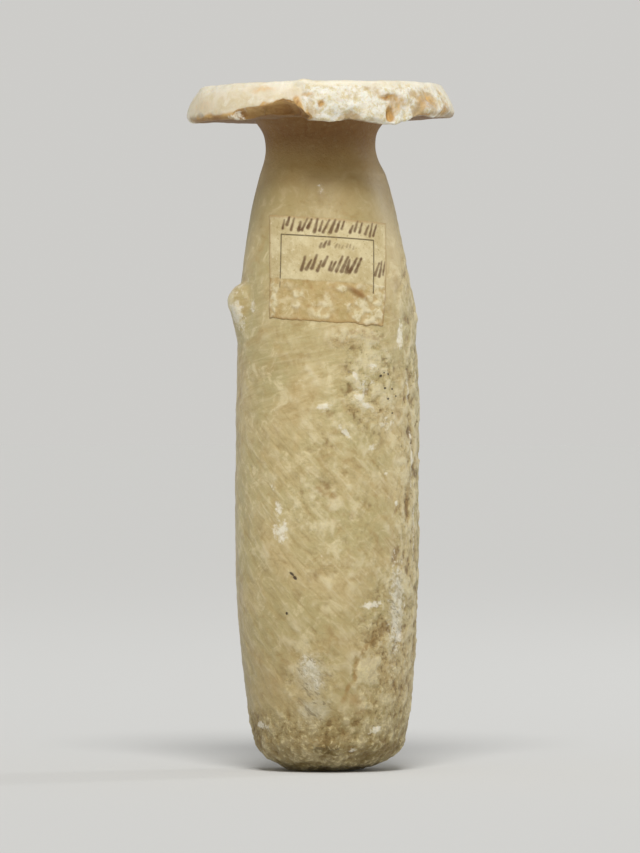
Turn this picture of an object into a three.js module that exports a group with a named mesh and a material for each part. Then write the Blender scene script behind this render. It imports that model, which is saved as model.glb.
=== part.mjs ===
// An alabaster perfume vase: a tall, narrow stone jar with a broad thick rim round a small mouth, a short neck,
// two small shoulder lugs and a worn, chipped foot. It is drilled hollow from the top, and an old paper label is
// glued on its shoulder.
//
// All sizes are in millimetres, +Z is up, and the label is on the side that faces -Y. The origin is the centre of
// the small worn flat that the vase stands on. An azimuth is an angle round the vase, in degrees: 0 is the label's
// side (-Y), 90 is the right-hand side (+X) and 180 is the back.
import * as THREE from "three";

const { clamp, degToRad, lerp, smoothstep } = THREE.MathUtils;

// Lengths along the vase: the body with its foot, the neck, and the rim on top.
const BODY_LENGTH = 152;
const FOOT_HEIGHT = 8.6;
const NECK_LENGTH = 14.5;
const RIM_THICKNESS = 8.7;

// Radii of the outside: the flat it stands on, the top of the foot, the body, the neck and the rim.
const FLAT_RADIUS = 8.1;
const FOOT_RADIUS = 19.4;
const BODY_RADIUS = 23.3;
const NECK_RADIUS = 14.05;
const RIM_RADIUS = 34.2;

// The rim: the flare of the neck under it, its rounded lower and upper edges, the inward lean of its edge face, and
// its tilt in degrees, which lifts the right-hand side.
const NECK_FLARE = 2.9;
const RIM_LOWER_ROUND = 1.3;
const RIM_UPPER_ROUND = 1.6;
const RIM_EDGE_LEAN = 2.8;
const RIM_TILT = 0.8;

// The hollow, drilled from the top: the wall round it, the floor under it, and the mouth with its rounded edge.
const WALL = 8;
const FLOOR_THICKNESS = 14;
const FLOOR_ROUND = 7;
const MOUTH_RADIUS = 7;
const MOUTH_ROUND = 1.4;

// The two lugs on the shoulders. Each one's height is a share of the body's length, and `left` is how much of its
// rise is left. The right-hand one is worn low.
const LUG_HALF_HEIGHT = 7.2;
const LUG_HALF_WIDTH = 6.2;
const LUG_RISE = 2.8;
const LUGS = [
  { azimuth: -77, height: 0.779, left: 1 },
  { azimuth: 104, height: 0.774, left: 0.35 },
];

// The label: a sheet of paper bent round the shoulder, a little askew and narrower at its foot, with its centre's
// height as a share of the body's length.
const LABEL_WIDTH = 33.8;
const LABEL_FOOT_WIDTH = 31.2;
const LABEL_HEIGHT = 26.8;
const LABEL_THICKNESS = 0.2;
const LABEL_GAP = 0.15;
const LABEL_AZIMUTH = 2;
const LABEL_CENTRE = 0.837;
const LABEL_SKEW = 3.6;

// The worn surface swells and sinks by up to this much, in waves about this long up the vase.
const UNEVENNESS = 0.2;
const SWELL_LENGTH = 11;

// The vase was cut by eye, so that its axis stands up to this far to the right of the flat's centre.
const AXIS_SHIFT = 2.5;

// How finely the solids are made.
const SEGMENTS = 64;
const FOOT_RINGS = 5;
const BELLY_RINGS = 12;
const LUG_RINGS = 9;
const SHOULDER_RINGS = 5;
const HOLLOW_RINGS = 10;
const LABEL_COLUMNS = 15;
const LABEL_ROWS = 6;

const NECK_WAIST = BODY_LENGTH + 0.5 * NECK_LENGTH;
const UNDERSIDE_HEIGHT = BODY_LENGTH + NECK_LENGTH;
const RIM_HEIGHT = UNDERSIDE_HEIGHT + RIM_THICKNESS;

// The outline from the top of the foot to the rim's underside. Each row is a height, a radius and the axis's shift.
// The body's rows are shares of its own length and radius, and every shift is a share of the largest.
const BODY_OUTLINE = [
  [0.11, 0.897, 0.96],
  [0.25, 0.976, 0.76],
  [0.367, 1.003, 0.74],
  [0.62, 1.0, 0.76],
  [0.717, 0.979, 0.7],
  [0.825, 0.923, 0.6],
  [0.933, 0.803, 0.38],
  [1.0, 0.695, 0.32],
];
const OUTLINE = [
  [FOOT_HEIGHT, FOOT_RADIUS, AXIS_SHIFT],
  ...BODY_OUTLINE.map(([height, radius, shift]) => [
    height * BODY_LENGTH,
    radius * BODY_RADIUS,
    shift * AXIS_SHIFT,
  ]),
  [BODY_LENGTH + 0.28 * NECK_LENGTH, NECK_RADIUS + 0.19 * NECK_FLARE, 0.16 * AXIS_SHIFT],
  [NECK_WAIST, NECK_RADIUS, 0.08 * AXIS_SHIFT],
  [BODY_LENGTH + 0.76 * NECK_LENGTH, NECK_RADIUS + 0.2 * NECK_FLARE, 0.04 * AXIS_SHIFT],
  [UNDERSIDE_HEIGHT, NECK_RADIUS + NECK_FLARE, 0.08 * AXIS_SHIFT],
];

// Damage: each scar is what an ellipsoid has bitten out of the stone. Its centre is at this azimuth, this far outside
// the edge's radius and this far above its height, and its sizes are its half-widths outwards, along the edge and
// upwards. All of them are multiples of the edge's own thickness.
const RIM_EDGE = { radius: RIM_RADIUS, height: UNDERSIDE_HEIGHT, thickness: RIM_THICKNESS };
const FOOT_EDGE = { radius: FOOT_RADIUS, height: 0.4 * FOOT_HEIGHT, thickness: FOOT_HEIGHT };
const SCARS = [
  { edge: RIM_EDGE, azimuth: -17, outside: 0.14, above: -0.14, sizes: [0.8, 0.74, 0.5] },
  { edge: RIM_EDGE, azimuth: 8, outside: 0.5, above: -0.17, sizes: [0.64, 1.02, 0.74] },
  { edge: RIM_EDGE, azimuth: 38, outside: 0.52, above: 0.16, sizes: [0.64, 1.14, 0.91] },
  { edge: RIM_EDGE, azimuth: 72, outside: 0.41, above: -0.3, sizes: [0.61, 1.02, 0.61] },
  { edge: RIM_EDGE, azimuth: 118, outside: 0.27, above: 1.11, sizes: [0.68, 1.25, 0.57] },
  { edge: RIM_EDGE, azimuth: 172, outside: 0.59, above: 0.41, sizes: [0.7, 1.02, 1.02] },
  { edge: RIM_EDGE, azimuth: -150, outside: 0.39, above: 1.11, sizes: [0.7, 1.36, 0.59] },
  { edge: FOOT_EDGE, azimuth: 40, outside: 0.33, above: -0.3, sizes: [0.74, 0.81, 0.53] },
  { edge: FOOT_EDGE, azimuth: -64, outside: 0.3, above: -0.07, sizes: [0.53, 0.93, 0.47] },
  { edge: FOOT_EDGE, azimuth: 150, outside: 0.33, above: -0.12, sizes: [0.58, 1.05, 0.51] },
];

// Reads the outline at a height above the foot: a smooth curve through its rows, giving the radius and the shift.
function outlineAt(height) {
  const last = OUTLINE.length - 1;
  let row = 0;
  while (row < last - 1 && height > OUTLINE[row + 1][0]) row += 1;
  const [low, high] = [OUTLINE[row], OUTLINE[row + 1]];
  const step = high[0] - low[0];
  const t = clamp((height - low[0]) / step, 0, 1);
  const slope = (at, column) => {
    const [before, after] = [OUTLINE[Math.max(at - 1, 0)], OUTLINE[Math.min(at + 1, last)]];
    return ((after[column] - before[column]) / (after[0] - before[0])) * step;
  };
  return [1, 2].map((column) => {
    const [a, b, p, q] = [low[column], high[column], slope(row, column), slope(row + 1, column)];
    return a + t * (p + t * (3 * (b - a) - 2 * p - q + t * (2 * (a - b) + p + q)));
  });
}

// The outside's radius at any height: a bowl from the flat to the top of the foot, and the outline above it.
function outerRadius(height) {
  if (height >= FOOT_HEIGHT) return outlineAt(height)[0];
  const share = height / FOOT_HEIGHT;
  return lerp(FLAT_RADIUS, FOOT_RADIUS, 1 - (1 - share) ** 2.3);
}

// The axis's shift at any height. In the foot it fades to nothing at the flat, which is centred on the origin.
function axisShift(height) {
  const share = clamp(height / FOOT_HEIGHT, 0, 1);
  return outlineAt(Math.max(height, FOOT_HEIGHT))[1] * (1 - (1 - share) ** 8);
}

// The hollow's radius at a height: a wall's thickness inside the body, but never narrower than the mouth.
function hollowRadius(height) {
  const inside = outerRadius(Math.min(height, NECK_WAIST)) - WALL;
  return (inside + MOUTH_RADIUS + Math.hypot(inside - MOUTH_RADIUS, MOUTH_ROUND)) / 2;
}

// The slow swells of the worn surface, from -1 to 1, stronger on the right-hand side.
function swell(azimuth, height) {
  const along = height / SWELL_LENGTH;
  const waves =
    0.5 * Math.sin(3 * azimuth + along) +
    0.3 * Math.sin(5 * azimuth - 1.6 * along + 1.3) +
    0.2 * Math.sin(8 * azimuth + 2.4 * along + 0.7);
  return waves * (0.7 + 0.3 * Math.sin(azimuth));
}

// How far the lugs stand out at a place on the body: rounded knobs, as seen from outside steep above and on their
// left, and sloping gently off below and on their right.
function lugRise(azimuth, height, radius) {
  return LUGS.reduce((rise, lug) => {
    const turn = azimuth - degToRad(lug.azimuth);
    const around = (Math.atan2(Math.sin(turn), Math.cos(turn)) * radius) / LUG_HALF_WIDTH;
    const up = (height - lug.height * BODY_LENGTH) / LUG_HALF_HEIGHT;
    const across = around > 0 ? around / 1.3 : around;
    const along = up > 0 ? up * 1.2 : up / 1.5;
    const inside = Math.max(0, 1 - across ** 4 - along ** 4 - 0.7 * (across * along) ** 2);
    const leftSlope = 1 - 0.3 * clamp(-across, 0, 1) ** 2;
    const rightSlope = (1 - clamp(across, 0, 1) ** 2) ** 2;
    const lowerSlope = (1 - clamp(-along, 0, 1)) ** 1.3;
    return rise + lug.left * LUG_RISE * inside ** 0.75 * leftSlope * rightSlope * lowerSlope;
  }, 0);
}

// A point of the body's outside at this azimuth and height, lifted off the stone by `lift`.
function bodyPoint(azimuth, height, lift) {
  const radius = outerRadius(height);
  const worn = smoothstep(height, 0, FOOT_HEIGHT) * (1 - smoothstep(height, BODY_LENGTH, UNDERSIDE_HEIGHT));
  const outer = radius + worn * UNEVENNESS * swell(azimuth, height) + lugRise(azimuth, height, radius) + lift;
  return new THREE.Vector3(axisShift(height) + outer * Math.sin(azimuth), -outer * Math.cos(azimuth), height);
}

// Leans the rim: the tilt comes in over the neck.
function tilt(point) {
  const share = smoothstep(point.z, BODY_LENGTH, UNDERSIDE_HEIGHT);
  point.z += share * Math.tan(degToRad(RIM_TILT)) * point.x;
}

// Moves a point that lies inside a scar's ellipsoid out to the ellipsoid's surface.
function bite(point, { edge, azimuth, outside, above, sizes }) {
  const { radius, height, thickness } = edge;
  const up = new THREE.Vector3(0, 0, 1);
  const turn = degToRad(azimuth) - Math.PI / 2;
  const centre = new THREE.Vector3(radius + outside * thickness, 0, height + above * thickness);
  centre.applyAxisAngle(up, turn);
  const local = point.clone().sub(centre).applyAxisAngle(up, -turn);
  const halves = new THREE.Vector3(...sizes).multiplyScalar(thickness);
  const depth = local.clone().divide(halves).length();
  if (depth < 1) point.copy(centre).add(local.divideScalar(depth).applyAxisAngle(up, turn));
}

// The section that is turned into the vase, one ring for each point: from the middle of the flat, up the outside,
// over the rim, and down the hollow to the middle of its floor.
function section() {
  const rings = [];
  const add = (stretch, radius, height) => rings.push({ stretch, radius, height });

  add("flat", 0, 0);
  const lugHeights = LUGS.map((lug) => lug.height * BODY_LENGTH);
  const lugBottom = Math.min(...lugHeights) - 1.5 * LUG_HALF_HEIGHT;
  const lugTop = Math.max(...lugHeights) + 0.9 * LUG_HALF_HEIGHT;
  const stretches = [
    [0, FOOT_HEIGHT, FOOT_RINGS],
    [FOOT_HEIGHT, lugBottom, BELLY_RINGS],
    [lugBottom, lugTop, LUG_RINGS],
    [lugTop, BODY_LENGTH, SHOULDER_RINGS],
  ];
  for (const [from, to, count] of stretches) {
    for (let ring = 0; ring < count; ring += 1) add("body", 0, lerp(from, to, ring / count));
  }
  add("body", 0, BODY_LENGTH);
  for (const [height, radius] of OUTLINE.slice(-4)) add("neck", radius, height);

  const rootRadius = NECK_RADIUS + NECK_FLARE;
  const edgeFoot = UNDERSIDE_HEIGHT + RIM_LOWER_ROUND;
  const edgeTop = RIM_HEIGHT - 0.8 * RIM_UPPER_ROUND;
  const topRadius = RIM_RADIUS - RIM_EDGE_LEAN;
  for (const share of [0.3, 0.6, 0.82]) add("rim", lerp(rootRadius, RIM_RADIUS, share), UNDERSIDE_HEIGHT);
  add("rim", RIM_RADIUS - RIM_LOWER_ROUND, UNDERSIDE_HEIGHT);
  add("rim", RIM_RADIUS - 0.3 * RIM_LOWER_ROUND, UNDERSIDE_HEIGHT + 0.3 * RIM_LOWER_ROUND);
  for (const share of [0, 0.3, 0.55, 0.8, 1]) {
    add("rim", lerp(RIM_RADIUS, topRadius, share ** 1.6), lerp(edgeFoot, edgeTop, share));
  }
  add("rim", topRadius - RIM_UPPER_ROUND, RIM_HEIGHT - 0.35 * RIM_UPPER_ROUND);
  for (const share of [0.35, 0.7]) {
    const drop = (1 - share) * 0.15 * RIM_UPPER_ROUND;
    add("rim", lerp(topRadius, MOUTH_RADIUS + MOUTH_ROUND, share), RIM_HEIGHT - drop);
  }
  add("mouth", MOUTH_RADIUS + MOUTH_ROUND, RIM_HEIGHT);
  add("mouth", MOUTH_RADIUS + 0.3 * MOUTH_ROUND, RIM_HEIGHT - 0.3 * MOUTH_ROUND);
  add("mouth", MOUTH_RADIUS, RIM_HEIGHT - MOUTH_ROUND);

  const floorEdge = FLOOR_THICKNESS + FLOOR_ROUND;
  for (let ring = 0; ring <= HOLLOW_RINGS; ring += 1) {
    const height = lerp(UNDERSIDE_HEIGHT, floorEdge, ring / HOLLOW_RINGS);
    add("hollow", hollowRadius(height), height);
  }
  for (const angle of [35, 65]) {
    const height = floorEdge - FLOOR_ROUND * Math.sin(degToRad(angle));
    add("hollow", hollowRadius(floorEdge) * Math.cos(degToRad(angle)), height);
  }
  add("hollow", 0, FLOOR_THICKNESS);
  return rings;
}

// The vase: the section turned round its axis, then leaned, worn, given its lugs and chipped.
function vase() {
  const rings = section();
  const profile = rings.map(({ radius, height }) => new THREE.Vector2(radius, height));
  const geometry = new THREE.LatheGeometry(profile, SEGMENTS);
  geometry.rotateX(Math.PI / 2);
  const position = geometry.getAttribute("position");
  for (let index = 0; index < position.count; index += 1) {
    const { stretch, height } = rings[index % rings.length];
    const segment = Math.floor(index / rings.length) % SEGMENTS;
    let point = new THREE.Vector3().fromBufferAttribute(position, index);
    if (stretch === "body") point = bodyPoint((segment / SEGMENTS) * 2 * Math.PI, height, 0);
    if (stretch !== "body" && stretch !== "flat") point.x += axisShift(height);
    tilt(point);
    if (stretch === "body" || stretch === "rim") SCARS.forEach((scar) => bite(point, scar));
    position.setXYZ(index, point.x, point.y, point.z);
  }
  return geometry;
}

// The label: a thin sheet bent onto the shoulder.
function label() {
  const sheet = [LABEL_WIDTH, LABEL_HEIGHT, LABEL_THICKNESS];
  const geometry = new THREE.BoxGeometry(...sheet, LABEL_COLUMNS, LABEL_ROWS, 1);
  const flat = geometry.getAttribute("position");
  for (let index = 0; index < flat.count; index += 1) {
    const share = flat.getY(index) / LABEL_HEIGHT + 0.5;
    flat.setX(index, flat.getX(index) * lerp(LABEL_FOOT_WIDTH / LABEL_WIDTH, 1, share));
  }
  geometry.rotateZ(-degToRad(LABEL_SKEW));
  const position = geometry.getAttribute("position");
  for (let index = 0; index < position.count; index += 1) {
    const height = LABEL_CENTRE * BODY_LENGTH + position.getY(index);
    const azimuth = degToRad(LABEL_AZIMUTH) + position.getX(index) / outerRadius(height);
    const lift = LABEL_GAP + LABEL_THICKNESS / 2 + position.getZ(index);
    const point = bodyPoint(azimuth, height, lift);
    position.setXYZ(index, point.x, point.y, point.z);
  }
  return geometry;
}

function named(name, geometry, look) {
  const mesh = new THREE.Mesh(geometry, new THREE.MeshStandardMaterial(look));
  mesh.name = name;
  return mesh;
}

const perfumeVase = new THREE.Group();
perfumeVase.add(
  named("vase", vase(), { color: 0xbcaa7e, roughness: 0.55, metalness: 0 }),
  named("paper_label", label(), { color: 0xcdb98a, roughness: 0.9, metalness: 0 }),
);

export default perfumeVase;
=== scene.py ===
import math
import random

import bpy
import numpy as np
from mathutils import Matrix, Vector


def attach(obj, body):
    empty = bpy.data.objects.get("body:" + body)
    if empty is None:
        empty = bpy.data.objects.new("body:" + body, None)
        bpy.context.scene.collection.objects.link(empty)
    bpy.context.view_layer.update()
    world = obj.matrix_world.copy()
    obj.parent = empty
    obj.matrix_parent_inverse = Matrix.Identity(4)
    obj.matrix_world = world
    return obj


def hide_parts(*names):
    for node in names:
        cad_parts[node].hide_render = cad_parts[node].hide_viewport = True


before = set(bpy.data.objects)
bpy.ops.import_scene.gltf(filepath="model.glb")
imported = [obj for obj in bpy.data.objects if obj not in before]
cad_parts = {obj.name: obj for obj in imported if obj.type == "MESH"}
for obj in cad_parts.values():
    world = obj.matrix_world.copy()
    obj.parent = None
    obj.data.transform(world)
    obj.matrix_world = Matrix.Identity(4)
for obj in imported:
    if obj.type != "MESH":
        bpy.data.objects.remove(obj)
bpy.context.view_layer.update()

MM = 0.001

# Lengths along the vase and radii of its outside, as in the solid that the fine stone replaces.
BODY_LENGTH = 152
FOOT_HEIGHT = 8.6
NECK_LENGTH = 14.5
RIM_THICKNESS = 8.7
FLAT_RADIUS = 8.1
FOOT_RADIUS = 19.4
BODY_RADIUS = 23.3
NECK_RADIUS = 14.05
RIM_RADIUS = 34.2
NECK_FLARE = 2.9
RIM_LOWER_ROUND = 1.3
RIM_UPPER_ROUND = 1.6
RIM_EDGE_LEAN = 2.8
RIM_TILT = 0.8
AXIS_SHIFT = 2.5
UNEVENNESS = 0.2
SWELL_LENGTH = 11

# The hollow.
WALL = 8
FLOOR_THICKNESS = 14
FLOOR_ROUND = 7
MOUTH_RADIUS = 7
MOUTH_ROUND = 1.4

# The lugs. `left` is how much of a lug is left.
LUG_HALF_HEIGHT = 7.2
LUG_HALF_WIDTH = 6.2
LUG_RISE = 2.8
LUGS = [
    {"azimuth": -77, "height": 0.779, "left": 1},
    {"azimuth": 104, "height": 0.774, "left": 0.35},
]

# The label. Its foot is a little narrower than its top.
LABEL_WIDTH = 33.8
LABEL_FOOT_WIDTH = 31.2
LABEL_HEIGHT = 26.8
LABEL_THICKNESS = 0.16
LABEL_AZIMUTH = 2
LABEL_CENTRE = 0.837
LABEL_SKEW = 3.6

NECK_WAIST = BODY_LENGTH + 0.5 * NECK_LENGTH
UNDERSIDE_HEIGHT = BODY_LENGTH + NECK_LENGTH
RIM_HEIGHT = UNDERSIDE_HEIGHT + RIM_THICKNESS

# How fine the meshes are: vertices round the hollow, the body and the rim's edge, how far they are drawn
# together at the front, and millimetres between rings and between the label's rows.
HOLLOW_SEGMENTS = 144
BODY_SEGMENTS = 2 * HOLLOW_SEGMENTS
EDGE_SEGMENTS = 2 * BODY_SEGMENTS
FRONT_BIAS = 0.35
FLAT_STEP = 1.6
FOOT_STEP = 0.4
BODY_STEP = 0.75
NECK_STEP = 0.6
RIM_FLAT_STEP = 1.3
RIM_EDGE_STEP = 0.36
HOLLOW_STEP = 7
LABEL_STEP = 0.24

# The outline: height, radius and the axis's shift to the right, from the foot's top to the rim's underside.
# The body's rows are shares of BODY_LENGTH, BODY_RADIUS and AXIS_SHIFT.
BODY_OUTLINE = [
    (0.11, 0.897, 0.96),
    (0.25, 0.976, 0.76),
    (0.367, 1.003, 0.74),
    (0.62, 1.0, 0.76),
    (0.717, 0.979, 0.7),
    (0.825, 0.923, 0.6),
    (0.933, 0.803, 0.38),
    (1.0, 0.695, 0.32),
]
OUTLINE = np.array(
    [(FOOT_HEIGHT, FOOT_RADIUS, AXIS_SHIFT)]
    + [(row[0] * BODY_LENGTH, row[1] * BODY_RADIUS, row[2] * AXIS_SHIFT) for row in BODY_OUTLINE]
    + [
        (BODY_LENGTH + 0.28 * NECK_LENGTH, NECK_RADIUS + 0.19 * NECK_FLARE, 0.16 * AXIS_SHIFT),
        (NECK_WAIST, NECK_RADIUS, 0.08 * AXIS_SHIFT),
        (BODY_LENGTH + 0.76 * NECK_LENGTH, NECK_RADIUS + 0.2 * NECK_FLARE, 0.04 * AXIS_SHIFT),
        (UNDERSIDE_HEIGHT, NECK_RADIUS + NECK_FLARE, 0.08 * AXIS_SHIFT),
    ]
)

# Damage. Each scar is what an ellipsoid has bitten out: its centre's azimuth, its distance outside the edge's
# radius and above the edge's height, and its half-widths outwards, along the edge and upwards, as multiples
# of the edge's thickness. `ragged` is how uneven the break is and `round` how worn its edge. `tone` is what
# it looks like, and TONE_DEPTHS says at how many millimetres' depth the tone reaches its full strength.
RIM_EDGE = {"radius": RIM_RADIUS, "height": UNDERSIDE_HEIGHT, "thickness": RIM_THICKNESS}
FOOT_EDGE = {"radius": FOOT_RADIUS, "height": 0.4 * FOOT_HEIGHT, "thickness": FOOT_HEIGHT}
TONE_DEPTHS = {"pale": 0.7, "brown": 1.5, "worn": 0.7}


def scar(edge, place, sizes, ragged, worn, tone):
    return {"edge": edge, "place": place, "sizes": sizes, "ragged": ragged, "round": worn, "tone": tone}


SCARS = [
    # The brown tone, given to the scars at -17° and -29°, is painted shade: warm brown that deepens with
    # their depth.
    scar(RIM_EDGE, (-17, 0.14, -0.14), (0.8, 0.74, 0.5), 0.3, 0.3, "brown"),
    scar(RIM_EDGE, (8, 0.5, -0.17), (0.64, 1.02, 0.74), 0.1, 0.2, "pale"),
    scar(RIM_EDGE, (38, 0.52, 0.16), (0.64, 1.14, 0.91), 0.1, 0.2, "pale"),
    scar(RIM_EDGE, (72, 0.41, -0.3), (0.61, 1.02, 0.61), 0.1, 0.2, "pale"),
    scar(RIM_EDGE, (118, 0.27, 1.11), (0.68, 1.25, 0.57), 0.08, 0.2, "worn"),
    scar(RIM_EDGE, (172, 0.59, 0.41), (0.7, 1.02, 1.02), 0.06, 0.2, "worn"),
    scar(RIM_EDGE, (-150, 0.39, 1.11), (0.7, 1.36, 0.59), 0.08, 0.2, "worn"),
    scar(FOOT_EDGE, (40, 0.33, -0.3), (0.74, 0.81, 0.53), 0.1, 0.2, "worn"),
    scar(FOOT_EDGE, (-64, 0.3, -0.07), (0.53, 0.93, 0.47), 0.1, 0.2, "worn"),
    scar(FOOT_EDGE, (150, 0.33, -0.12), (0.58, 1.05, 0.51), 0.1, 0.2, "worn"),
    # Smaller ones, which the solid doesn't have.
    scar(RIM_EDGE, (-29, 0.06, -0.06), (0.34, 0.66, 0.28), 0.3, 0.4, "brown"),
    scar(RIM_EDGE, (-92, 0.34, 1.16), (0.72, 1.3, 0.5), 0.05, 0.2, "worn"),
    scar(RIM_EDGE, (-60, 0.3, 1.14), (0.72, 1.2, 0.5), 0.05, 0.3, "worn"),
    scar(RIM_EDGE, (75, 0.1, 1.0), (0.42, 0.7, 0.3), 0.2, 0.2, "pale"),
    scar(RIM_EDGE, (60, -0.22, 1.02), (0.12, 0.1, 0.08), 0.2, 0.2, "worn"),
]
RIM_CHIPS = 46
FOOT_CHIPS = 46

# The fresh break in the front of the rim: the azimuths of its ends.
BREAK_LEFT, BREAK_RIGHT = -8, 77

# How far the rim's lower edge hangs down, round the rim: azimuth and millimetres.
HANG = [
    (-180, -0.5),
    (-110, -0.4),
    (-85, 0.1),
    (-68, 0.7),
    (-34, 0.8),
    (-27, 0.2),
    (-12, 0.4),
    (-6.5, 1.6),
    (3, 1.9),
    (10, 2.1),
    (19, 2.0),
    (25, 2.4),
    (36, 2.7),
    (43, 1.2),
    (55, 0.3),
    (62, 0.7),
    (78, 0.3),
    (110, -0.4),
    (180, -0.5),
]

# Bumps and pits: azimuth, height, half-widths round and up, and how far each one rises, or sinks where it is
# below 0.
BUMPS = [
    (-8.2, 174.4, 2.4, 1.0, 0.75),
    (-39, 166.8, 3.2, 0.9, 0.4),
    (32.7, 168.3, 1.4, 1.2, -1.5),
    (30.9, 170.8, 2.4, 0.7, -0.6),
    (0.5, 169.6, 1.1, 0.9, -0.6),
    (-5.6, 171.4, 2.4, 0.9, -0.4),
    (12, 167.0, 3.6, 1.6, -0.6),
    (47, 168.2, 3.0, 1.6, -0.5),
    (-79, 166.4, 3.2, 2.0, 0.5),
    (29, 165.6, 2.6, 1.6, 0.5),
    (90, 115.6, 2.4, 1.8, 0.7),
    (-80, 120.5, 3.2, 3.2, 0.6),
    (-70, 117.0, 1.6, 3.0, 0.35),
    (-1.8, 146.8, 1.5, 2.8, 0.2),
    (23.4, 111.2, 4.4, 1.1, 0.5),
    (29, 109.9, 2.0, 0.9, 0.4),
    (17.2, 100.7, 1.7, 1.1, 0.35),
    (20.8, 95.1, 1.8, 1.3, 0.4),
    (25, 93.1, 2.6, 1.0, 0.35),
    (29.7, 103.2, 1.6, 0.8, 0.3),
    (-2, 93.0, 2.0, 1.0, 0.35),
    (24.3, 17.2, 3.4, 0.9, 0.3),
    (24, 27, 5, 5, 0.35),
    (9.5, 103.2, 2.2, 5.0, -0.15),
    (60.5, 67.9, 1.3, 7.0, -0.4),
    (10.8, 86.1, 2.0, 0.7, -0.3),
    (-21.9, 50.1, 1.2, 0.6, -0.35),
    (31, 32.8, 1.6, 0.8, -0.35),
    (19, 28.6, 0.9, 2.0, -0.35),
    (17, 25.0, 0.8, 2.2, -0.35),
    (12.5, 21.2, 1.2, 1.6, -0.3),
]

# Places where the body is rough and pitted: azimuth, height, half-widths round and up, and how rough.
ROUGH_PLACES = [
    (84, 60, 16, 78, 1.0),
    (52, 30, 15, 26, 0.8),
    (30, 98, 9, 15, 0.85),
    (22, 110, 9, 4, 0.8),
    (-12, 24, 8, 14, 0.5),
    (10, 70, 16, 30, 0.4),
    (150, 40, 15, 34, 0.8),
    (-140, 90, 14, 24, 0.6),
    (170, 115, 12, 15, 0.5),
]

# Soft-edged marks: azimuth, height, half-widths along and across, slant above level and strength.
PALE_MARKS = [
    (55, 111.1, 1.3, 3.4, -10, 1.0),
    (-2, 92.9, 2.1, 1.0, 12, 1.0),
    (17.2, 100.9, 1.7, 1.0, -30, 0.85),
    (20.8, 95.3, 1.8, 1.3, 0, 0.9),
    (24.9, 93.2, 2.7, 1.0, -15, 0.85),
    (29.7, 103.3, 1.6, 0.8, 0, 0.85),
    (23, 98, 3.0, 4.5, -30, 0.5),
    (10.8, 86.8, 2.5, 0.7, -45, 1.0),
    (40.5, 88.3, 2.8, 2.4, 0, 0.55),
    (29.1, 82.5, 1.6, 1.4, 0, 0.7),
    (-31.4, 67.5, 1.3, 1.7, 0, 0.9),
    (-29.9, 61.5, 2.7, 2.7, 30, 0.9),
    (-36, 72.3, 1.1, 1.1, 0, 0.6),
    (30.4, 42.9, 3.6, 1.0, 8, 1.0),
    (50.0, 42, 3.6, 15.0, 0, 0.65),
    (51.7, 35.2, 2.5, 3.4, 0, 0.85),
    (-12.4, 27.0, 2.6, 3.6, 10, 0.75),
    (-9.5, 22.5, 2.0, 1.6, -30, 0.6),
    (-59.2, 11.7, 3.0, 1.0, 0, 0.9),
    (36.4, 11.2, 2.5, 0.9, 20, 0.95),
    (18, 5.8, 1.5, 0.5, 0, 0.8),
    # On the left lug, the marks at -72° and 116.8 mm and at -57° are painted highlights.
    (-72, 116.8, 2.8, 3.6, 0, 1.0),
    (-57, 118.4, 1.1, 1.6, 0, 0.75),
    (-67, 113.0, 1.2, 2.2, 0, 0.65),
    (-72, 123.0, 4.0, 3.4, 0, 0.45),
    (-1.8, 147.8, 1.2, 1.1, 0, 0.5),
    (66, 80, 0.8, 9.0, 0, 0.75),
    (71, 60, 1.0, 10.0, 0, 0.65),
    (62, 98, 0.8, 5.0, 0, 0.7),
    (-3, 55.4, 0.7, 0.6, 0, 0.8),
    (49, 68.3, 1.1, 0.9, 0, 0.8),
    (40, 76, 1.5, 0.9, -40, 0.6),
    # On the rim.
    (26.4, 166.8, 2.6, 1.7, 0, 1.0),
    (18.3, 168.9, 1.8, 1.0, 0, 0.9),
    (36.1, 165.9, 3.0, 1.2, 0, 0.95),
    (6, 170.8, 3.4, 1.5, 0, 0.6),
    (-80, 166.8, 2.6, 2.2, 0, 1.0),
    (78, 171.8, 4.2, 3.4, 0, 0.95),
    (-33.7, 167.4, 1.4, 0.9, 20, 0.6),
    (-38, 167.1, 3.2, 0.7, 0, 0.8),
    # The next two marks, at -45° and -28°, are painted highlights on the rim's face.
    (-45, 170.3, 1.0, 0.9, 0, 0.7),
    (-28, 170.2, 5.5, 0.9, 0, 0.6),
    (62, 173, 4.5, 0.9, 0, 0.9),
]
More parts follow.
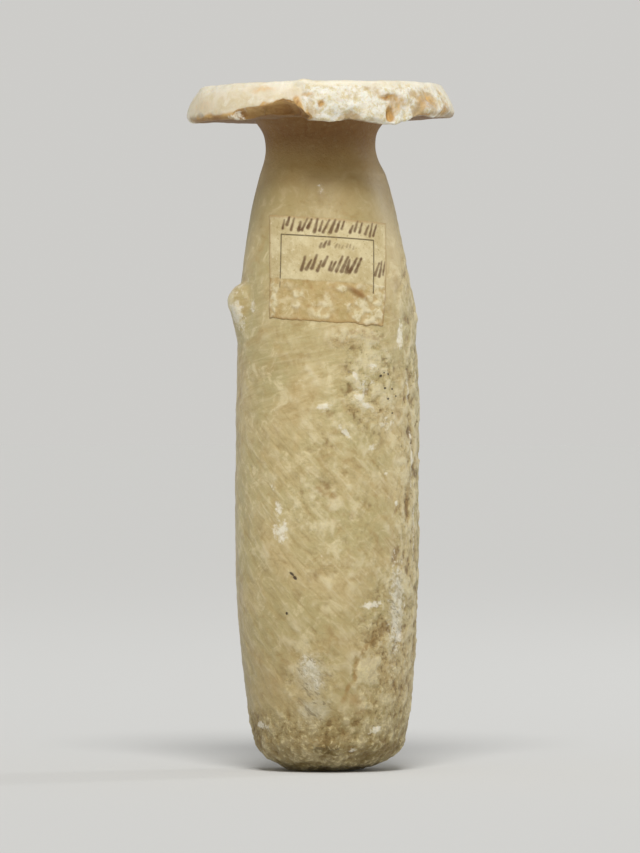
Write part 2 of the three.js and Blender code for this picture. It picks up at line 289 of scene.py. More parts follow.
# Brown stains and painted shade. The marks at 9.5° and 103.2 mm, along a slope, and at -1.8° and 145.8 mm,
# under a bump, are painted shadows.
BROWN_MARKS = [
    (10.4, 109.2, 6.4, 2.2, 0, 0.6),
    (9.5, 103.2, 2.8, 5.4, 24, 0.3),
    (-4.4, 71.9, 1.7, 0.9, -40, 0.85),
    (2.4, 70.4, 2.5, 0.8, -10, 0.9),
    (0, 72, 6.0, 4.5, 0, 0.35),
    (60.5, 67.9, 1.2, 7.0, 0, 0.85),
    (50.5, 45.0, 1.9, 2.0, 0, 0.7),
    (30.5, 33.4, 2.4, 0.8, 30, 1.0),
    (24.5, 31.6, 2.4, 0.8, 40, 1.0),
    (19.0, 28.3, 2.0, 0.65, 70, 0.95),
    (17.4, 25.3, 2.2, 0.65, 92, 0.95),
    (13.9, 22.0, 2.2, 0.7, 60, 0.95),
    (11.0, 19.2, 1.8, 1.0, 50, 0.8),
    (18.2, 18.7, 2.6, 2.0, 0, 0.65),
    (24.3, 15.7, 3.4, 0.8, 0, 0.6),
    (-43.9, 23.1, 5.2, 4.2, 0, 0.5),
    (-6.8, 8, 4.8, 2.4, 0, 0.5),
    (12, 10, 3.4, 2.0, 0, 0.5),
    (-1.8, 145.8, 1.6, 2.6, 0, 0.7),
    (-20, 56, 9.0, 7.0, 0, 0.25),
    (28, 46, 7.0, 6.0, 0, 0.3),
    (30, 110.0, 3.0, 0.8, -15, 0.9),
    (21.5, 111.7, 5.0, 0.8, -6, 0.9),
    # On the rim: brown stains, and painted shade in its hollows and scar and along its lower edge.
    (32.7, 168.3, 1.3, 1.1, 0, 1.0),
    (30.9, 170.8, 2.6, 0.45, 5, 0.8),
    (36, 169.8, 3.2, 1.7, 0, 0.45),
    (0.5, 169.6, 1.1, 0.8, 0, 0.7),
    (-5.6, 171.4, 2.4, 0.7, 0, 0.4),
    (50.9, 166.0, 4.6, 1.0, 0, 0.9),
    (13, 165.7, 4.2, 0.8, 0, 0.8),
    (-26, 167.5, 2.5, 0.9, 0, 0.9),
    (-10.6, 168.6, 1.2, 2.4, 0, 0.9),
    (54, 169.8, 4.4, 2.0, 0, 0.55),
    (70, 168.2, 4.0, 2.2, 0, 0.6),
    (-28, 173, 4.5, 1.2, 0, 0.3),
    (-62, 169.5, 6.0, 2.0, 0, 0.3),
    (-50, 166.7, 17.0, 1.3, 0, 0.85),
    (-20, 167.6, 5.0, 1.6, 0, 0.6),
]
GREY_MARKS = [
    (50.0, 42, 3.8, 16.0, 0, 0.6),
    (50.5, 44.9, 2.3, 2.2, 0, 0.8),
    (51.5, 30.6, 1.9, 2.5, 0, 0.6),
    (-12, 24.5, 4.2, 5.6, 10, 1.0),
    (-9.0, 16.5, 4.4, 5.0, -40, 0.8),
    (-15, 17, 4.0, 4.4, 30, 0.55),
    (84, 124, 1.0, 1.0, 0, 0.6),
    (66, 123.5, 0.8, 0.7, 0, 0.6),
]

# Specks too small for the mesh: azimuth, height, half length, half width and slant above level.
SPECKS = [
    (-22.6, 50.6, 0.9, 0.42, -40),
    (-20.6, 49.6, 0.8, 0.5, -40),
    (-26.5, 40.6, 0.42, 0.5, 0),
    (36, 100.7, 0.55, 0.4, 0),
    (38.5, 101.5, 0.3, 0.25, 0),
    (42, 101.2, 0.45, 0.35, 0),
    (39, 97.6, 0.45, 0.3, 0),
    (45, 97.4, 0.4, 0.35, 0),
    (41, 94.9, 0.4, 0.35, 0),
    (45, 91.3, 0.4, 0.25, 0),
    (48.5, 95.6, 0.3, 0.3, 0),
]


def smoothstep(value, low, high):
    """The smooth step from 0 at `low` to 1 at `high`."""
    t = np.clip((value - low) / (high - low), 0, 1)
    return t * t * (3 - 2 * t)


def lerp(a, b, share):
    return a + (b - a) * share


# Noise


def noise(points, wavelength, seed):
    """Smooth gradient noise from about -1 to 1 at points given in millimetres."""
    scaled = np.asarray(points, float) / wavelength
    cell = np.floor(scaled).astype(np.int64)
    part = scaled - cell
    fade = part**3 * (part * (part * 6 - 15) + 10)
    total = np.zeros(len(scaled))
    for corner in range(8):
        step = np.array([corner & 1, corner >> 1 & 1, corner >> 2 & 1])
        mixed = (cell + step) * np.array([73856093, 19349663, 83492791])
        key = (mixed[:, 0] ^ mixed[:, 1] ^ mixed[:, 2] ^ (seed * 2654435761)) & 0xFFFFFFFF
        key = (key ^ key >> 15) * 2246822519 & 0xFFFFFFFF
        key = (key ^ key >> 13) * 3266489917 & 0xFFFFFFFF
        slopes = np.stack([key & 1023, key >> 10 & 1023, key >> 20 & 1023], axis=1) / 511.5 - 1
        weight = np.prod(np.where(step, fade, 1 - fade), axis=1)
        total += weight * np.sum(slopes * (part - step), axis=1)
    return 1.3 * total


def layered_noise(points, wavelength, seed, layers=3, fall=0.5):
    """Several octaves of noise, each half as long and `fall` times as strong as the last."""
    strengths = [fall**layer for layer in range(layers)]
    total = sum(share * noise(points, wavelength / 2**i, seed + i) for i, share in enumerate(strengths))
    return total / sum(strengths)


def stroke_noise(points, twist, width, length, seed):
    """Noise drawn out along a helix that turns `twist` degrees for each millimetre of height."""
    angle = np.radians(twist) * points[:, 2]
    across = points[:, 0] * np.cos(angle) - points[:, 1] * np.sin(angle)
    along = points[:, 0] * np.sin(angle) + points[:, 1] * np.cos(angle)
    return noise(np.stack([across / width, along / width, points[:, 2] / length], axis=1), 1, seed)


# The stone's form, as in the solid


def outline_at(height):
    """The outline's radius and shift at heights above the foot: a smooth curve through its rows."""
    height = np.asarray(height, float)
    rows, last = OUTLINE[:, 0], len(OUTLINE) - 1
    row = np.clip(np.searchsorted(rows, height) - 1, 0, last - 1)
    before, after = np.maximum(np.arange(last + 1) - 1, 0), np.minimum(np.arange(last + 1) + 1, last)
    slopes = (OUTLINE[after, 1:] - OUTLINE[before, 1:]) / (rows[after] - rows[before])[:, None]
    step = (rows[row + 1] - rows[row])[..., None]
    t = np.clip((height - rows[row])[..., None] / step, 0, 1)
    a, b, p, q = OUTLINE[row, 1:], OUTLINE[row + 1, 1:], slopes[row] * step, slopes[row + 1] * step
    curve = a + t * (p + t * (3 * (b - a) - 2 * p - q + t * (2 * (a - b) + p + q)))
    return curve[..., 0], curve[..., 1]


def outer_radius(height):
    share = np.clip(np.asarray(height, float) / FOOT_HEIGHT, 0, 1)
    foot = lerp(FLAT_RADIUS, FOOT_RADIUS, 1 - (1 - share) ** 2.3)
    return np.where(share < 1, foot, outline_at(height)[0])


def axis_shift(height):
    share = np.clip(np.asarray(height, float) / FOOT_HEIGHT, 0, 1)
    return outline_at(np.maximum(height, FOOT_HEIGHT))[1] * (1 - (1 - share) ** 8)


def hollow_radius(height):
    inside = outer_radius(np.minimum(height, NECK_WAIST)) - WALL
    return (inside + MOUTH_RADIUS + np.hypot(inside - MOUTH_RADIUS, MOUTH_ROUND)) / 2


def swell(azimuth, height):
    """The slow swells of the worn surface. `azimuth` is in radians."""
    along = height / SWELL_LENGTH
    waves = (
        0.5 * np.sin(3 * azimuth + along)
        + 0.3 * np.sin(5 * azimuth - 1.6 * along + 1.3)
        + 0.2 * np.sin(8 * azimuth + 2.4 * along + 0.7)
    )
    return waves * (0.7 + 0.3 * np.sin(azimuth))


def lug_rise(azimuth, height, radius):
    """How far the lugs stand out. `azimuth` is in radians."""
    rise = 0
    for lug in LUGS:
        turn = azimuth - math.radians(lug["azimuth"])
        around = np.arctan2(np.sin(turn), np.cos(turn)) * radius / LUG_HALF_WIDTH
        up = (height - lug["height"] * BODY_LENGTH) / LUG_HALF_HEIGHT
        across = np.where(around > 0, around / 1.3, around)
        along = np.where(up > 0, up * 1.2, up / 1.5)
        inside = np.maximum(0, 1 - across**4 - along**4 - 0.7 * (across * along) ** 2)
        left_slope = 1 - 0.3 * np.clip(-across, 0, 1) ** 2
        right_slope = (1 - np.clip(across, 0, 1) ** 2) ** 2
        lower_slope = (1 - np.clip(-along, 0, 1)) ** 1.3
        rise = rise + lug["left"] * LUG_RISE * inside**0.75 * left_slope * right_slope * lower_slope
    return rise


def body_points(azimuth, height, lift=0):
    """Points of the body's outside, lifted off the stone. `azimuth` is in radians."""
    radius = outer_radius(height)
    worn = smoothstep(height, 0, FOOT_HEIGHT) * (1 - smoothstep(height, BODY_LENGTH, UNDERSIDE_HEIGHT))
    outer = radius + worn * UNEVENNESS * swell(azimuth, height) + lug_rise(azimuth, height, radius) + lift
    x = axis_shift(height) + outer * np.sin(azimuth)
    return np.stack([x, -outer * np.cos(azimuth), height + 0 * outer], axis=1)


def tilt(points):
    share = smoothstep(points[:, 2], BODY_LENGTH, UNDERSIDE_HEIGHT)
    points[:, 2] += share * math.tan(math.radians(RIM_TILT)) * points[:, 0]


def bite(points, mark, chosen):
    """Moves chosen points in a scar's ragged ellipsoid to its surface, and says how far each one moved."""
    radius, height, thickness = (mark["edge"][key] for key in ("radius", "height", "thickness"))
    azimuth, outside, above = mark["place"]
    turn = math.radians(azimuth)
    outwards = np.array([math.sin(turn), -math.cos(turn), 0])
    sideways = np.array([math.cos(turn), math.sin(turn), 0])
    axes = np.stack([outwards, sideways, [0, 0, 1]])
    centre = outwards * (radius + outside * thickness) + np.array([0, 0, height + above * thickness])
    local = (points - centre) @ axes.T
    halves = np.array(mark["sizes"]) * thickness
    near = chosen & (np.abs(local) < 1.6 * halves).all(axis=1)
    rough = layered_noise(points[near], 2.6, 71, layers=3, fall=0.6)
    depth = np.linalg.norm(local[near] / halves, axis=1) * (1 + mark["ragged"] * rough)
    worn = (depth + 1 + np.hypot(depth - 1, mark["round"])) / 2
    worn = lerp(worn, depth, smoothstep(depth, 1, 1.5))
    moved = local[near] * (worn / np.maximum(depth, 1e-6) - 1)[:, None]
    distance = np.zeros(len(points))
    distance[near] = np.linalg.norm(moved, axis=1)
    points[near] += moved @ axes
    return distance


# The stone's fine mesh


def section():
    """The rings that the section is turned into: stretch, radius, height and vertices round."""
    rings = []

    def add(stretch, radii, heights, segments):
        for radius, height in zip(np.broadcast_to(radii, np.shape(heights)), heights):
            rings.append((stretch, float(radius), float(height), segments))

    def steps(start, end, step, last=False):
        count = max(1, round(abs(end - start) / step))
        return np.linspace(start, end, count + 1)[: None if last else -1]

    rings.append(("flat", 0.0, 0.0, 1))
    flat = steps(FLAT_STEP, FLAT_RADIUS, FLAT_STEP)
    add("flat", flat, np.zeros(len(flat)), BODY_SEGMENTS)
    add("body", 0, steps(0, FOOT_HEIGHT, FOOT_STEP), BODY_SEGMENTS)
    add("body", 0, steps(FOOT_HEIGHT, BODY_LENGTH, BODY_STEP), BODY_SEGMENTS)
    neck = steps(BODY_LENGTH, UNDERSIDE_HEIGHT, NECK_STEP, last=True)
    add("neck", outline_at(neck)[0], neck, BODY_SEGMENTS)

    edge_foot = UNDERSIDE_HEIGHT + RIM_LOWER_ROUND
    edge_top = RIM_HEIGHT - 0.8 * RIM_UPPER_ROUND
    top_radius = RIM_RADIUS - RIM_EDGE_LEAN
    under = steps(NECK_RADIUS + NECK_FLARE, RIM_RADIUS - RIM_LOWER_ROUND, RIM_FLAT_STEP)[1:]
    add("under", under, np.full(len(under), UNDERSIDE_HEIGHT), BODY_SEGMENTS)
    quarter = np.radians(np.linspace(0, 90, 5))[:-1]
    add(
        "edge",
        RIM_RADIUS - RIM_LOWER_ROUND * (1 - np.sin(quarter)),
        UNDERSIDE_HEIGHT + RIM_LOWER_ROUND * (1 - np.cos(quarter)),
        EDGE_SEGMENTS,
    )
    shares = steps(0, 1, RIM_EDGE_STEP / (edge_top - edge_foot))
    add("edge", lerp(RIM_RADIUS, top_radius, shares**1.6), lerp(edge_foot, edge_top, shares), EDGE_SEGMENTS)
    add(
        "edge",
        top_radius - RIM_UPPER_ROUND * (1 - np.cos(quarter)),
        edge_top + 0.65 * RIM_UPPER_ROUND * np.sin(quarter),
        EDGE_SEGMENTS,
    )
    top = steps(top_radius - RIM_UPPER_ROUND, MOUTH_RADIUS + MOUTH_ROUND, RIM_FLAT_STEP)
    dome = (top - top[-1]) / (top[0] - top[-1])
    add("top", top, RIM_HEIGHT - 0.15 * RIM_UPPER_ROUND * dome, BODY_SEGMENTS)
    quarter = np.radians(np.linspace(0, 90, 5))
    add(
        "mouth",
        MOUTH_RADIUS + MOUTH_ROUND * (1 - np.sin(quarter)),
        RIM_HEIGHT - MOUTH_ROUND * (1 - np.cos(quarter)),
        BODY_SEGMENTS,
    )

    floor_edge = FLOOR_THICKNESS + FLOOR_ROUND
    hollow = steps(RIM_HEIGHT - MOUTH_ROUND, floor_edge, HOLLOW_STEP, last=True)[1:]
    add("hollow", hollow_radius(hollow), hollow, HOLLOW_SEGMENTS)
    turn = np.radians(np.linspace(0, 90, 8))[1:-1]
    add(
        "hollow",
        hollow_radius(floor_edge) * np.cos(turn),
        floor_edge - FLOOR_ROUND * np.sin(turn),
        HOLLOW_SEGMENTS,
    )
    rings.append(("hollow", 0.0, float(FLOOR_THICKNESS), 1))
    return rings


def ring_azimuths(count):
    """Azimuths round a ring, in radians, from the middle of the front and closer together there."""
    even = np.arange(count) / count * 2 * math.pi
    return even - FRONT_BIAS * np.sin(even)


def join_rings(first, first_count, second, second_count):
    """Faces between two rings. One ring may be a point, or have twice as many vertices as the other."""
    if first_count > second_count:
        return [face[::-1] for face in join_rings(second, second_count, first, first_count)]
    faces = []
    count = second_count if first_count == 1 else first_count
    for i in range(count):
        j = (i + 1) % count
        if first_count == 1:
            faces.append((first, second + j, second + i))
        elif first_count == second_count:
            faces.append((first + i, first + j, second + j, second + i))
        else:
            left, middle, right = second + 2 * i, second + 2 * i + 1, second + (2 * i + 2) % second_count
            faces += [(first + i, middle, left), (first + i, first + j, middle), (first + j, right, middle)]
    return faces


def vertex_normals(points, faces):
    """Normals averaged over the faces round each vertex."""
    normals = np.zeros_like(points)
    for size in (3, 4):
        group = np.array([face for face in faces if len(face) == size])
        corners = points[group]
        crossed = np.cross(corners[:, size // 2] - corners[:, 0], corners[:, -1] - corners[:, 1])
        if size == 3:
            crossed = np.cross(corners[:, 1] - corners[:, 0], corners[:, 2] - corners[:, 0])
        for corner in range(size):
            np.add.at(normals, group[:, corner], crossed)
    lengths = np.linalg.norm(normals, axis=1)
    return normals / np.maximum(lengths, 1e-9)[:, None]


def oval(points, azimuth, height, place):
    """How far points are from the middle of an oval on the side, as a share of its half-widths."""
    around = (azimuth - place[0] + 180) % 360 - 180
    across = np.radians(around) * np.hypot(points[:, 0], points[:, 1])
    slant = math.radians(place[4]) if len(place) == 6 else 0
    up = height - place[1]
    along = across * math.cos(slant) + up * math.sin(slant)
    aside = up * math.cos(slant) - across * math.sin(slant)
    return np.hypot(along / place[2], aside / place[3])


def mark_field(points, azimuth, height, marks):
    """The strongest of soft marks at each point, from 0 to 1, wandering a little from their ovals."""
    wander = layered_noise(points, 4.5, 91, layers=2)
    drift = layered_noise(points, 4.5, 95, layers=2)
    wandered = azimuth + np.degrees(0.9 * wander / np.maximum(np.hypot(points[:, 0], points[:, 1]), 5))
    field = np.zeros(len(points))
    for place in marks:
        distance = oval(points, wandered, height + 0.9 * drift, place)
        field = np.maximum(field, place[5] * (1 - smoothstep(distance, 0.2, 1.6)))
    return field


def rough_zones(points, azimuth, height):
    """Where the body is rough and pitted, from 0 to 1: the foot, the right-hand side and other places."""
    strongest = 1 - smoothstep(height, 9, 21)
    for place in ROUGH_PLACES:
        inside = 1 - smoothstep(oval(points, azimuth, height, place), 0.6, 1.3)
        strongest = np.maximum(strongest, place[4] * inside)
    everywhere = 0.16 * (1 - smoothstep(height, 128, 140))
    return np.clip(np.maximum(strongest, everywhere) * (1 + 0.8 * layered_noise(points, 11, 5)), 0, 1)


def under_label(azimuth, height):
    """1 where the label covers the stone, falling to 0 just outside it."""
    skew = math.radians(LABEL_SKEW)
    x = np.radians((azimuth - LABEL_AZIMUTH + 180) % 360 - 180) * outer_radius(height)
    z = height - LABEL_CENTRE * BODY_LENGTH
    across = np.abs(x * math.cos(skew) - z * math.sin(skew)) - 0.5 * LABEL_WIDTH
    up = np.abs(x * math.sin(skew) + z * math.cos(skew)) - 0.5 * LABEL_HEIGHT
    return 1 - smoothstep(np.maximum(across, up), -0.2, 1.0)


def make_object(name, points, faces, attributes, material):
    """A smooth-shaded object with its attributes, one number or vector for each point."""
    mesh = bpy.data.meshes.new(name)
    mesh.from_pydata((points * MM).tolist(), [], faces)
    for key, values in attributes.items():
        kind, field = ("FLOAT_VECTOR", "vector") if np.ndim(values) == 2 else ("FLOAT", "value")
        mesh.attributes.new(key, kind, "POINT").data.foreach_set(field, np.ravel(values).astype(np.float32))
    mesh.polygons.foreach_set("use_smooth", [True] * len(faces))
    mesh.materials.append(material)
    thing = bpy.data.objects.new(name, mesh)
    bpy.context.scene.collection.objects.link(thing)
    return thing


def stone_points(rings):
    """The rings' points before damage, with each point's azimuth, its ring's height and its stretch."""
    points, azimuths, heights, stretches = [], [], [], []
    for stretch, radius, height, count in rings:
        azimuth = ring_azimuths(count)
        if stretch == "body":
            ring = body_points(azimuth, np.full(count, height))
        else:
            shift = 0 if stretch == "flat" else float(axis_shift(height))
            x = shift + radius * np.sin(azimuth)
            ring = np.stack([x, -radius * np.cos(azimuth), np.full(count, height)], axis=1)
        points.append(ring)
        azimuths.append((np.degrees(azimuth) + 180) % 360 - 180)
        heights.append(np.full(count, height))
        stretches += [stretch] * count
    return np.concatenate(points), np.concatenate(azimuths), np.concatenate(heights), np.array(stretches)


def stone_faces(rings):
    starts = np.cumsum([0] + [ring[3] for ring in rings])
    faces = []
    for index in range(len(rings) - 1):
        faces += join_rings(starts[index], rings[index][3], starts[index + 1], rings[index + 1][3])
    return [tuple(int(corner) for corner in face) for face in faces]


def on_rim(stretch):
    return np.isin(stretch, ("edge", "under", "top"))


def hang_lip(points, azimuth, height, stretch):
    """Lowers the rim's lower edge by what HANG says."""
    outer = smoothstep(np.hypot(points[:, 0], points[:, 1]), 24, 32)
    share = on_rim(stretch) * outer * (1 - smoothstep(height, UNDERSIDE_HEIGHT + 0.5, UNDERSIDE_HEIGHT + 5))
    places, drops = zip(*HANG)
    wavering = azimuth + 1.5 * noise(points, 3, 45)
    points[:, 2] -= share * np.interp(wavering, places, drops)


def stone_relief(points, azimuth, height, stretch, rough, broken, worn):
    """How far the worn and broken surface stands out of the form, in millimetres."""
    rim = on_rim(stretch)
    body = stretch == "body"
    hollow = np.isin(stretch, ("hollow", "mouth"))
    swells = layered_noise(points, 6, 11, layers=2)
    lumps = layered_noise(points, 2.9, 13, layers=3, fall=0.6)
    crests = 0.3 - np.abs(noise(points, 3.4, 19))
    granular = layered_noise(points, 1.3, 37, layers=2)
    strokes = stroke_noise(points, 2.2, 2.4, 4.4, 23) * (1 - smoothstep(height, 96, 112)) * body
    smooth = body * (1 - smoothstep(height, 120, 138))
    relief = smooth * (0.17 * swells + 0.12 * lumps + 0.11 * strokes)
    relief += rough * (0.2 * swells + 0.6 * lumps + 0.34 * crests + 0.3 * granular)
    relief += rim * (0.22 * swells + 0.24 * lumps)
    relief += broken * (-0.16 + 0.95 * layered_noise(points, 5.0, 31, layers=3, fall=0.55) + 0.26 * granular)
    relief += worn * (0.2 * lumps + 0.1 * granular)
    relief += hollow * (0.12 * np.sin(1.9 * height) + 0.15 * swells)
    relief *= (stretch != "flat") * lerp(0.1, 1, smoothstep(height, 0, 0.8))
    for place in BUMPS:
        relief += place[4] * (1 - smoothstep(oval(points, azimuth, height, place), 0, 1.25)) * (rim | body)
    return relief * (1 - body * under_label(azimuth, height))


def stone_mesh(material):
    """The whole stone: turned from its section, then tilted, chipped and roughened."""
    rings = section()
    faces = stone_faces(rings)
    points, azimuth, height, stretch = stone_points(rings)
    tilt(points)
    rim = on_rim(stretch)
    body = stretch == "body"
    hang_lip(points, azimuth, height, stretch)

    tones = {tone: np.zeros(len(points)) for tone in TONE_DEPTHS}
    for mark in SCARS + small_chips():
        moved = bite(points, mark, rim if mark["edge"] is RIM_EDGE else body)
        tone = mark["tone"]
        tones[tone] = np.maximum(tones[tone], smoothstep(moved, 0.08, TONE_DEPTHS[tone]))

    rough = np.where(body, rough_zones(points, azimuth, height), 0.0)
    broken = fracture(points, azimuth, height, stretch)
    worn = np.maximum(tones["worn"], tones["pale"])
    relief = stone_relief(points, azimuth, height, stretch, rough, broken, worn)
    points += vertex_normals(points, faces) * relief[:, None]
    points[:, 2] = np.maximum(points[:, 2], 0)

    edge = stretch == "edge"
    pale, brown, grey = (
        (body | edge) * mark_field(points, azimuth, height, marks)
        for marks in (PALE_MARKS, BROWN_MARKS, GREY_MARKS)
    )
    # Painted highlight along the top of the rim's edge, where the light from above falls.
    bevel_highlight = 0.6 * edge * smoothstep(height, RIM_HEIGHT - 2.6, RIM_HEIGHT - 1.2)
    # Dirt, and painted shade with stain under the rim and round the neck.
    dirt_and_shade = dirt_and_shade_zones(points, azimuth, height, stretch) + 0.3 * tones["worn"] * body
    attributes = {
        "broken": np.clip(np.maximum(broken, tones["pale"]) + 0.5 * tones["worn"] * rim, 0, 1),
        "dirt_and_shade": np.clip(dirt_and_shade, 0, 1),
        "rough": rough,
        "relief": 0.5 + relief,
        "rim": rim * (0.7 + 0.3 * smoothstep(height, UNDERSIDE_HEIGHT + 5, RIM_HEIGHT - 0.5)),
        # Pale scuffs, with painted highlights, among them the one on the rim's top edge.
        "pale": np.maximum(pale, bevel_highlight),
        # Brown stains, with painted shade in scars, in the rim's hollows and along its lower edge.
        "brown": np.maximum(brown, 0.85 * tones["brown"]),
        "grey": grey,
    }
    return make_object("stone_vase", points, faces, attributes, material)


def small_chips():
    """Small seeded chips along the rim's edges and the foot."""
    chance = random.Random(12)
    chips = []
    for _ in range(RIM_CHIPS):
        upper = chance.random() < 0.5
        outside = (-0.26 if upper else 0.0) + chance.uniform(0, 0.04)
        place = (chance.uniform(-180, 180), outside, 0.94 if upper else 0.02)
        size = chance.uniform(0.07, 0.17)
        sizes = (0.8 * size, size * chance.uniform(0.9, 2), 0.7 * size)
        chips.append(scar(RIM_EDGE, place, sizes, 0.35, 0.2, "worn"))
    for _ in range(FOOT_CHIPS):
        above = chance.uniform(-0.3, 0.75)
        height = FOOT_EDGE["height"] + above * FOOT_HEIGHT
        outside = (float(outer_radius(height)) - FOOT_RADIUS) / FOOT_HEIGHT
        size = chance.uniform(0.09, 0.24)
        sizes = (0.5 * size, size * chance.uniform(0.8, 1.8), 0.8 * size)
        chips.append(scar(FOOT_EDGE, (chance.uniform(-180, 180), outside, above), sizes, 0.4, 0.2, "worn"))
    return chips


def fracture(points, azimuth, height, stretch):
    """The rough fresh break along the front of the rim's edge, from 0 to 1."""
    wobble = 3 * noise(points, 3, 41)
    along = smoothstep(azimuth, BREAK_LEFT - 0.8, BREAK_LEFT + 0.8)
    along *= 1 - smoothstep(azimuth + wobble, BREAK_RIGHT - 11, BREAK_RIGHT + 11)
    upper = RIM_HEIGHT - 2.2 + 1.1 * noise(points, 6, 43)
    return along * (1 - smoothstep(height, upper, upper + 1.2)) * (stretch == "edge")


def dirt_and_shade_zones(points, azimuth, height, stretch):
    """Brown dirt and painted shade, from 0 to 1: painted shade and stain under the rim and round the neck,
    dirt on the foot.
    """
    body = stretch == "body"
    # Under the rim, along its lower edge, round the neck and inside the hollow this is painted shade with
    # brown stain; on the foot and in the blotches it is dirt.
    under = (stretch == "under") * 1.0
    neck = (stretch == "neck") * lerp(0.15, 0.95, smoothstep(height, BODY_LENGTH, BODY_LENGTH + 11))
    shoulder = body * 0.2 * smoothstep(height, BODY_LENGTH - 6, BODY_LENGTH)
    foot = body * 0.6 * (1 - smoothstep(height, 3, 22)) * (0.8 + 0.5 * noise(points, 6, 47))
    above_edge = smoothstep(height, UNDERSIDE_HEIGHT + 0.2, UNDERSIDE_HEIGHT + 1.6)
    in_break = smoothstep(azimuth, BREAK_LEFT - 1.4, BREAK_LEFT + 0.2)
    in_break *= 1 - smoothstep(azimuth, BREAK_RIGHT - 17, BREAK_RIGHT + 7)
    lower_edge = (stretch == "edge") * 0.7 * (1 - above_edge) * (1 - in_break)
    inside = np.isin(stretch, ("hollow", "mouth")) * 0.6
    blotches = 0.25 * np.maximum(0, layered_noise(points, 9, 53) - 0.15)
    return np.clip(np.max([under, neck, shoulder, foot, lower_edge, inside], axis=0) + blotches, 0, 1)


# Shader helpers


class Shader:
    """Adds nodes to a material, and joins them up."""

    def __init__(self, name):
        self.material = bpy.data.materials.new(name)
        self.material.use_nodes = True
        self.tree = self.material.node_tree
        self.surface = self.tree.nodes["Principled BSDF"]
        self.coordinates = self.scaled(self.add("ShaderNodeTexCoord").outputs["Object"], 1 / MM)

    def add(self, kind, inputs=None, **settings):
        node = self.tree.nodes.new(kind)
        for key, value in settings.items():
            setattr(node, key, value)
        for key, value in (inputs or {}).items():
            self.put(node.inputs[key], value)
        return node

    def put(self, socket, value):
        if isinstance(value, bpy.types.NodeSocket):
            self.tree.links.new(value, socket)
        else:
            socket.default_value = value

    def scaled(self, vector, factor):
        factors = factor if isinstance(factor, tuple) else (factor,) * 3
        node = self.add("ShaderNodeVectorMath", {0: vector, 1: factors}, operation="MULTIPLY")
        return node.outputs["Vector"]

    def maths(self, operation, *values, clamp=False):
        node = self.add("ShaderNodeMath", dict(enumerate(values)), operation=operation, use_clamp=clamp)
        return node.outputs["Value"]

    def product(self, first, second):
        return self.maths("MULTIPLY", first, second)

    def mean(self, first, second, share):
        """`first` where share is 0, and `second` where it is 1."""
        inputs = {"Factor": share, "A": first, "B": second}
        return self.add("ShaderNodeMix", inputs, data_type="FLOAT").outputs["Result"]

    def ragged(self, mask, texture, low, high, most, uneven_by=0.8):
        """A soft mask given uneven edges by a texture."""
        uneven = self.maths("ADD", mask, self.maths("MULTIPLY_ADD", texture, 2 * uneven_by, -uneven_by))
        return self.product(self.ramp(uneven, low, high, 0, most), self.ramp(mask, 0, 0.15))

    def attribute(self, name):
        return self.add("ShaderNodeAttribute", attribute_name=name).outputs["Fac"]

    def noise(self, vector, wavelength, detail=3, rough=0.5, distortion=0):
        inputs = {
            "Vector": vector,
            "Scale": 1 / wavelength,
            "Detail": detail,
            "Roughness": rough,
            "Distortion": distortion,
        }
        return self.add("ShaderNodeTexNoise", inputs).outputs["Fac"]

    def ramp(self, value, low, high, to_low=0.0, to_high=1.0):
        """Maps low..high smoothly to to_low..to_high."""
        inputs = {"Value": value, "From Min": low, "From Max": high, "To Min": to_low, "To Max": to_high}
        node = self.add("ShaderNodeMapRange", inputs, interpolation_type="SMOOTHSTEP")
        return node.outputs["Result"]

    def mix(self, share, first, second):
        """The first colour where share is 0, and the second where it is 1."""
        node = self.add("ShaderNodeMix", {"Factor": share, "A": first, "B": second}, data_type="RGBA")
        return next(socket for socket in node.outputs if socket.type == "RGBA")

    def between(self, value, low, high, first, second):
        """From the first colour to the second as a value goes from low to high."""
        return self.mix(self.ramp(value, low, high), colour(*first), colour(*second))

    def tinted(self, tone, *tints):
        """The tone with tints over it. Each comes in as its value goes from low to high, up to a strength."""
        for value, low, high, strength, tint in tints:
            tone = self.mix(self.ramp(value, low, high, 0, strength), tone, colour(*tint))
        return tone

    def constants(self, values):
        """Sets what is the same all over the surface."""
        for name, value in values.items():
            self.surface.inputs[name].default_value = value

    def twisted(self, twist, width, length):
        """Coordinates whose noise runs along a helix of `twist` degrees for each millimetre of height."""
        height = self.add("ShaderNodeSeparateXYZ", {0: self.coordinates}).outputs["Z"]
        angle = self.maths("MULTIPLY", height, math.radians(twist))
        inputs = {"Vector": self.coordinates, "Angle": angle}
        turned = self.add("ShaderNodeVectorRotate", inputs, rotation_type="Z_AXIS").outputs["Vector"]
        return self.scaled(turned, (1 / width, 1 / width, 1 / length))

    def marks(self, vector, marks):
        """A mask that falls from 1 in the middle of each mark to 0 at its edge."""
        strongest = None
        for azimuth, height, half_length, half_width, slant in marks:
            place, turn = mark_frame(azimuth, height, slant)
            inputs = {"Vector": vector, "Location": place, "Rotation": turn}
            inputs["Scale"] = (half_length, half_width, 3)
            mapped = self.add("ShaderNodeMapping", inputs, vector_type="TEXTURE").outputs["Vector"]
            distance = self.add("ShaderNodeVectorMath", {0: mapped}, operation="LENGTH").outputs["Value"]
            mask = self.maths("SUBTRACT", 1.0, distance, clamp=True)
            strongest = mask if strongest is None else self.maths("MAXIMUM", strongest, mask)
        return strongest

    def bump(self, height, distance, normal=None):
        inputs = {"Height": height, "Distance": distance * MM, "Strength": 1.0}
        if normal is not None:
            inputs["Normal"] = normal
        return self.add("ShaderNodeBump", inputs).outputs["Normal"]


